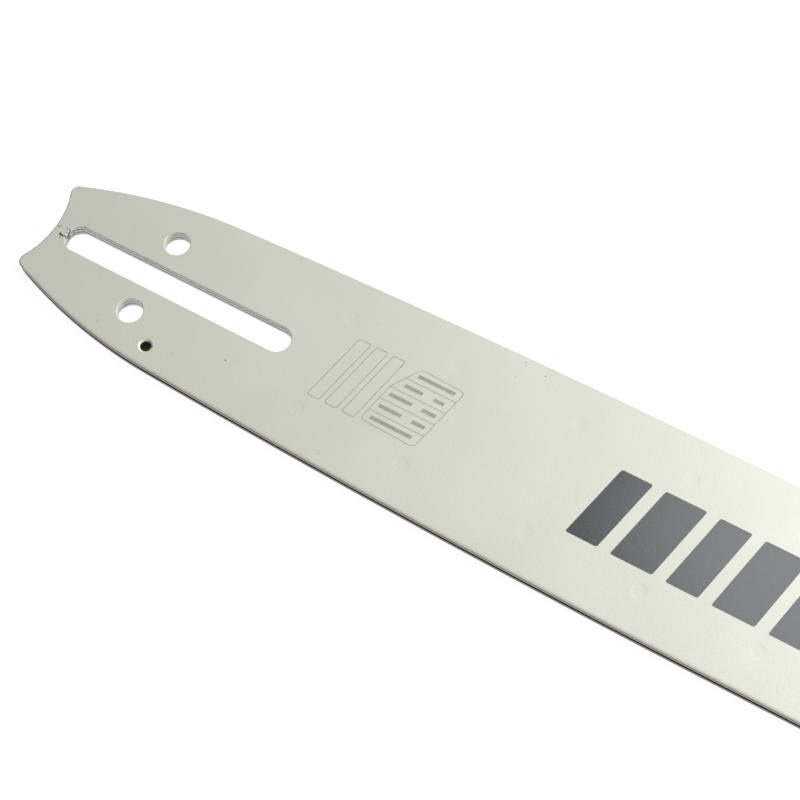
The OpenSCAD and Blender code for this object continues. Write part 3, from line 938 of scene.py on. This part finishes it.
class GUIDEBAR_OT_star_wheel(bpy.types.Operator):
    """Builds the nose's star wheel: round valleys between teeth with a short land on each tip"""

    bl_idname = "guidebar.star_wheel"
    bl_label = "Star Wheel"

    def execute(self, context):
        outline, openings, nose, edges, finishes = settings()
        chain_r = nose.chain_pitch / (2 * math.sin(math.radians(90 / nose.teeth)))
        tip_r, valley_r = chain_r - nose.tip_drop, chain_r - nose.valley_drop
        half = 180 / nose.teeth
        sine = math.sin(math.radians(half))
        round_r = (2 * valley_r * sine - nose.tip_land) / (2 - 2 * sine)
        centre_r = valley_r + round_r
        # Half the angle that a valley takes out of the tip circle, and where its arc starts
        opening = math.acos((tip_r**2 + centre_r**2 - round_r**2) / (2 * tip_r * centre_r))
        rise = math.atan2(tip_r * math.sin(opening), tip_r * math.cos(opening) - centre_r)
        opening, rise = math.degrees(opening), math.degrees(rise)
        land = arc([0, 0], tip_r, opening - half, half - opening, 4)
        valley = arc(centre_r * directions([half])[0], round_r, half - rise, half + rise - 360, 28)[1:-1]
        tooth = np.concatenate([land, valley])
        turns = np.radians(np.arange(nose.teeth) * 2 * half)
        spin = np.array([[np.cos(turns), -np.sin(turns)], [np.sin(turns), np.cos(turns)]])
        path = np.einsum("ijk,nj->kni", spin, tooth).reshape(-1, 2)
        bore_r = nose.roller_ring_r + nose.roller_d / 2 + nose.running_gap
        around = path / np.hypot(*path.T)[:, None]
        normal = inward(path)
        c, low = edges.wheel_chamfer, (2 * outline.plate_t + outline.core_t - nose.wheel_t) / 2
        high = low + nose.wheel_t
        rows = [
            (around * bore_r, high - c), (around * (bore_r + c), high),
            (path + normal * c, high), (path, high - c), (path, low + c), (path + normal * c, low),
            (around * (bore_r + c), low), (around * bore_r, low + c),
        ]  # fmt: skip
        s = Surface()
        rings = s.add(np.stack([np.column_stack([flat, np.full(len(flat), z)]) for flat, z in rows]))
        s.strips(rings, 0, closed=True)
        nose_x = bar_lines(outline)["nose_x"]
        steel = bright_material("polished_wheel_steel", finishes, 0.72, 0.3, 0.4 * MM, (8, 1, 1))
        wheel = s.piece("star_wheel", [steel], lambda p: p + [nose_x, 0, 0])
        put(wheel, "sprocket", "sprocket_steel", "nose_sprocket")
        return {"FINISHED"}


class GUIDEBAR_OT_rivets(bpy.types.Operator):
    """Builds the staked rivets that clamp the inner race, with the staking tool's dish in each head"""

    bl_idname = "guidebar.rivets"
    bl_label = "Nose Rivets"

    def execute(self, context):
        outline, openings, nose, edges, finishes = settings()
        steel = bright_material("staked_rivet_steel", finishes, 0.8, 0.34, 0.3 * MM)
        nose_x = bar_lines(outline)["nose_x"]
        thick = 2 * outline.plate_t + outline.core_t
        head, neck = nose.rivet_head_d / 2, (nose.rivet_head_d - nose.rivet_d) / 2
        half = [
            (head - 0.5 * MM, -0.07 * MM), (head - 0.9 * MM, -0.06 * MM), (head - 1.25 * MM, -0.01 * MM),
            (0.32 * MM, 0), (0.12 * MM, -0.03 * MM), (0, -0.13 * MM), (neck, -nose.rivet_head_h),
        ]  # fmt: skip
        profile = [(d, thick + z) for d, z in half] + [(d, -z) for d, z in half[::-1]]
        for number in range(1, nose.rivets + 1):
            centre = np.array([nose_x, 0]) + nose.rivet_ring_r * directions([number * 360 / nose.rivets])[0]
            s = Surface()
            rings = s.carry(circle(centre, head, 48, clockwise=False), profile, 0)
            s.fan(rings[0], [*centre, thick - 0.07 * MM], 0)
            s.fan(rings[-1], [*centre, 0.07 * MM], 0, flip=True)
            rivet = s.piece(f"staked_rivet_{number}", [steel])
            put(rivet, "bar", "rivet_steel", f"nose_rivet_{number}")
        return {"FINISHED"}


class GUIDEBAR_OT_bearing(bpy.types.Operator):
    """Gives the inner race and the rollers their hardened steel"""

    bl_idname = "guidebar.bearing"
    bl_label = "Nose Bearing"

    def execute(self, context):
        finishes = settings()[-1]
        race = bright_material("hardened_race_steel", finishes, 0.5, 0.25, 0.3 * MM)
        roller = bright_material("polished_roller_steel", finishes, 0.85, 0.18, 0.2 * MM)
        for name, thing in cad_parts.items():
            if name == "bearing_race" or name.startswith("bearing_roller"):
                thing.data.materials.clear()
                thing.data.materials.append(race if name == "bearing_race" else roller)
        return {"FINISHED"}


def leaning(left, right, low, high, lean):
    """Anticlockwise corners of an upright box from left to right at its foot, leaning forward by lean."""
    shift = (high - low) * lean
    return [(left, low), (right, low), (right + shift, high), (left + shift, high)]


class GUIDEBAR_OT_face_marks(bpy.types.Operator):
    """Lays the print on the upper face: dark bars and thin outlines that lean, and a panel of ruled rows"""

    bl_idname = "guidebar.face_marks"
    bl_label = "Face Marks"

    def execute(self, context):
        outline, openings, nose, edges, finishes = settings()
        high = 2 * outline.plate_t + outline.core_t
        low = high - edges.film_t

        bars = Surface()
        left = 181.0
        gap = 4.2
        for width in (10.3, 13.5, 10.3, 13.5, 10.3, 13.5, 10.3, 8.5, 7.0, 5.5, 4.0, 2.5):
            corners = np.array(leaning(left, left + width, -13.6, 12.2, 0.27))
            slab(bars, rounded(corners * MM, 0.8 * MM), low, high)
            left += width + gap
        ink = print_material("glossy_dark_print", finishes.print_dark, 0.24)
        put(bars.piece("print_leaning_bars", [ink]), "bar", "painted_plate")

        lines = Surface()
        for foot in (92.1, 98.2, 104.3):
            corners = np.array(leaning(foot, foot + 4.2, -11.8, 12.4, 0.215))
            line_loop(lines, rounded(corners * MM, 0.9 * MM), 0.27 * MM, low, high)
        panel = [(110.5, -11.2), (129.2, -11.8), (134.9, 11.7), (119.6, 12.4), (113.4, 2.8)]
        line_loop(lines, rounded(np.array(panel) * MM, 1.6 * MM), 0.27 * MM, low, high)
        rules = ((116.6, 133.9, 7.5), (113.5, 132.7, 2.7), (112.5, 131.5, -2.2), (111.5, 130.4, -7.1))
        for left, right, y in rules:
            corners = [(left, y - 0.13), (right, y - 0.13), (right, y + 0.13), (left, y + 0.13)]
            slab(lines, np.array(corners) * MM, low, high)
        thin = print_material("thin_grey_brown_print", finishes.print_line, 0.5)
        put(lines.piece("print_outlines", [thin]), "bar", "painted_plate")

        rows = Surface()
        entries = (
            (119.6, 132.4, 9.9), (117.4, 123.6, 5.1), (127.5, 131.0, 5.1), (114.6, 122.3, 0.3),
            (125.8, 130.6, 0.3), (113.5, 121.2, -4.6), (124.9, 129.4, -4.6), (113.0, 127.3, -9.3),
        )  # fmt: skip
        for left, right, y in entries:
            corners = leaning(left - 0.2, right - 0.2, y - 0.62, y + 0.62, 0.22)
            slab(rows, np.array(corners) * MM, low, high)
        soft = print_material("beige_row_print", finishes.print_row, 0.5)
        put(rows.piece("print_row_bars", [soft]), "bar", "painted_plate")
        return {"FINISHED"}


def seen(tree):
    """1 for the rays that show the background: straight from the camera, mirrored or through glass."""
    path = node(tree, "ShaderNodeLightPath")
    kinds = [path.outputs[kind] for kind in ("Is Camera Ray", "Is Glossy Ray", "Is Transmission Ray")]
    first = node(tree, "ShaderNodeMath", {0: kinds[0], 1: kinds[1]}, operation="MAXIMUM")
    return node(tree, "ShaderNodeMath", {0: first.outputs[0], 1: kinds[2]}, operation="MAXIMUM").outputs[0]


class GUIDEBAR_OT_stage(bpy.types.Operator):
    """Sets the camera, the soft lights, the white surroundings and the pale floor"""

    bl_idname = "guidebar.stage"
    bl_label = "Stage"

    def execute(self, context):
        scene = context.scene
        scene.view_settings.view_transform = "Standard"

        right = Vector((0.8803547363534534, 0.47387467578378184, 0.020453112986952533))
        down = Vector((0.44176440135342915, -0.8034757228576771, -0.39908768018466756))
        forward = Vector((-0.17268396531492955, 0.3603741866853795, -0.9166846206269436))
        camera = bpy.data.cameras.new("photo_camera")
        camera.lens, camera.sensor_width = 56.25, 36.0
        camera.clip_start, camera.clip_end = 0.02, 20.0
        view = bpy.data.objects.new("photo_camera", camera)
        turn = Matrix((right, -down, -forward)).transposed().to_4x4()
        view.matrix_world = Matrix.Translation((0.184784, -0.138719, 0.357682)) @ turn
        scene.collection.objects.link(view)
        scene.camera = view

        lamps = (
            ("key_light", (0.751, 0.649, 0.706), (0.2, 0.0, 0.0), 0.096, 9.9, (1.0, 1.0, 1.0)),
            ("softbox", (0.37, 0.24, 0.5), (0.2, 0.0, 0.0), 0.3, 1.55, (0.95, 0.97, 1.0)),
            ("front_fill", (0.15, -0.8, 0.25), (0.2, 0.0, 0.0), 0.4, 0.25, (1.0, 1.0, 1.0)),
        )
        for name, place, aim, size, power, tint in lamps:
            light = bpy.data.lights.new(name, "AREA")
            light.shape, light.size, light.energy, light.color = "SQUARE", size, power, tint
            lamp = bpy.data.objects.new(name, light)
            lamp.location = place
            lamp.rotation_mode = "QUATERNION"
            lamp.rotation_quaternion = (Vector(aim) - Vector(place)).to_track_quat("-Z", "Y")
            scene.collection.objects.link(lamp)

        world = bpy.data.worlds.new("white_surroundings")
        world.use_nodes = True
        scene.world = world
        tree = world.node_tree
        tree.nodes.clear()
        lit = node(tree, "ShaderNodeBackground", {"Color": (1, 1, 1, 1), "Strength": 0.1})
        white = node(tree, "ShaderNodeBackground", {"Color": (1, 1, 1, 1), "Strength": 1.0})
        mixed = node(tree, "ShaderNodeMixShader", {0: seen(tree), 1: lit.outputs[0], 2: white.outputs[0]})
        node(tree, "ShaderNodeOutputWorld", {"Surface": mixed.outputs[0]})

        material = bpy.data.materials.new("white_floor")
        material.use_nodes = True
        tree = material.node_tree
        tree.nodes.clear()
        matt = node(tree, "ShaderNodeBsdfDiffuse", {"Color": linear("#989898")})
        glow = node(tree, "ShaderNodeEmission", {"Color": (1, 1, 1, 1), "Strength": 0.94})
        none = node(tree, "ShaderNodeEmission", {"Color": (0, 0, 0, 1), "Strength": 0.0})
        only = node(tree, "ShaderNodeMixShader", {0: seen(tree), 1: none.outputs[0], 2: glow.outputs[0]})
        both = node(tree, "ShaderNodeAddShader", {0: matt.outputs[0], 1: only.outputs[0]})
        node(tree, "ShaderNodeOutputMaterial", {"Surface": both.outputs[0]})

        side = 4.0
        corners = [(-side, -side), (side, -side), (side, side), (-side, side)]
        mesh = bpy.data.meshes.new("floor")
        mesh.from_pydata([(x, y, -0.0001) for x, y in corners], [], [(0, 1, 2, 3)])
        mesh.materials.append(material)
        floor = bpy.data.objects.new("floor", mesh)
        scene.collection.objects.link(floor)
        return {"FINISHED"}


class GUIDEBAR_PT_panel(bpy.types.Panel):
    """Lists the steps and the sizes of the guide bar"""

    bl_idname = "GUIDEBAR_PT_panel"
    bl_label = "Guide Bar"
    bl_space_type = "VIEW_3D"
    bl_region_type = "UI"
    bl_category = "Guide Bar"

    def draw(self, context):
        for step in STEPS:
            self.layout.operator(step.bl_idname)
        for name, group in GROUPS.items():
            box = self.layout.box()
            box.label(text=name.replace("_", " ").capitalize())
            for key in group.__annotations__:
                box.prop(getattr(context.scene, name), key)


GROUPS = {
    "bar_outline": GuideBarOutline,
    "bar_openings": GuideBarOpenings,
    "bar_nose": GuideBarNose,
    "bar_edges": GuideBarEdges,
    "bar_finishes": GuideBarFinishes,
}
STEPS = (
    GUIDEBAR_OT_side_plates,
    GUIDEBAR_OT_core,
    GUIDEBAR_OT_star_wheel,
    GUIDEBAR_OT_rivets,
    GUIDEBAR_OT_bearing,
    GUIDEBAR_OT_face_marks,
    GUIDEBAR_OT_stage,
)


def register():
    """Registers the classes and hangs the property groups on the scene."""
    for cls in (*GROUPS.values(), *STEPS, GUIDEBAR_PT_panel):
        bpy.utils.register_class(cls)
    for name, group in GROUPS.items():
        setattr(bpy.types.Scene, name, bpy.props.PointerProperty(type=group))


def unregister():
    """Takes the property groups off the scene and unregisters the classes."""
    for name in GROUPS:
        delattr(bpy.types.Scene, name)
    for cls in (GUIDEBAR_PT_panel, *reversed(STEPS), *reversed(list(GROUPS.values()))):
        bpy.utils.unregister_class(cls)


def main():
    """Builds every piece and the stage."""
    register()
    for step in STEPS:
        group, name = step.bl_idname.split(".")
        getattr(getattr(bpy.ops, group), name)()
    bpy.context.view_layer.update()


if __name__ == "__main__":
    main()
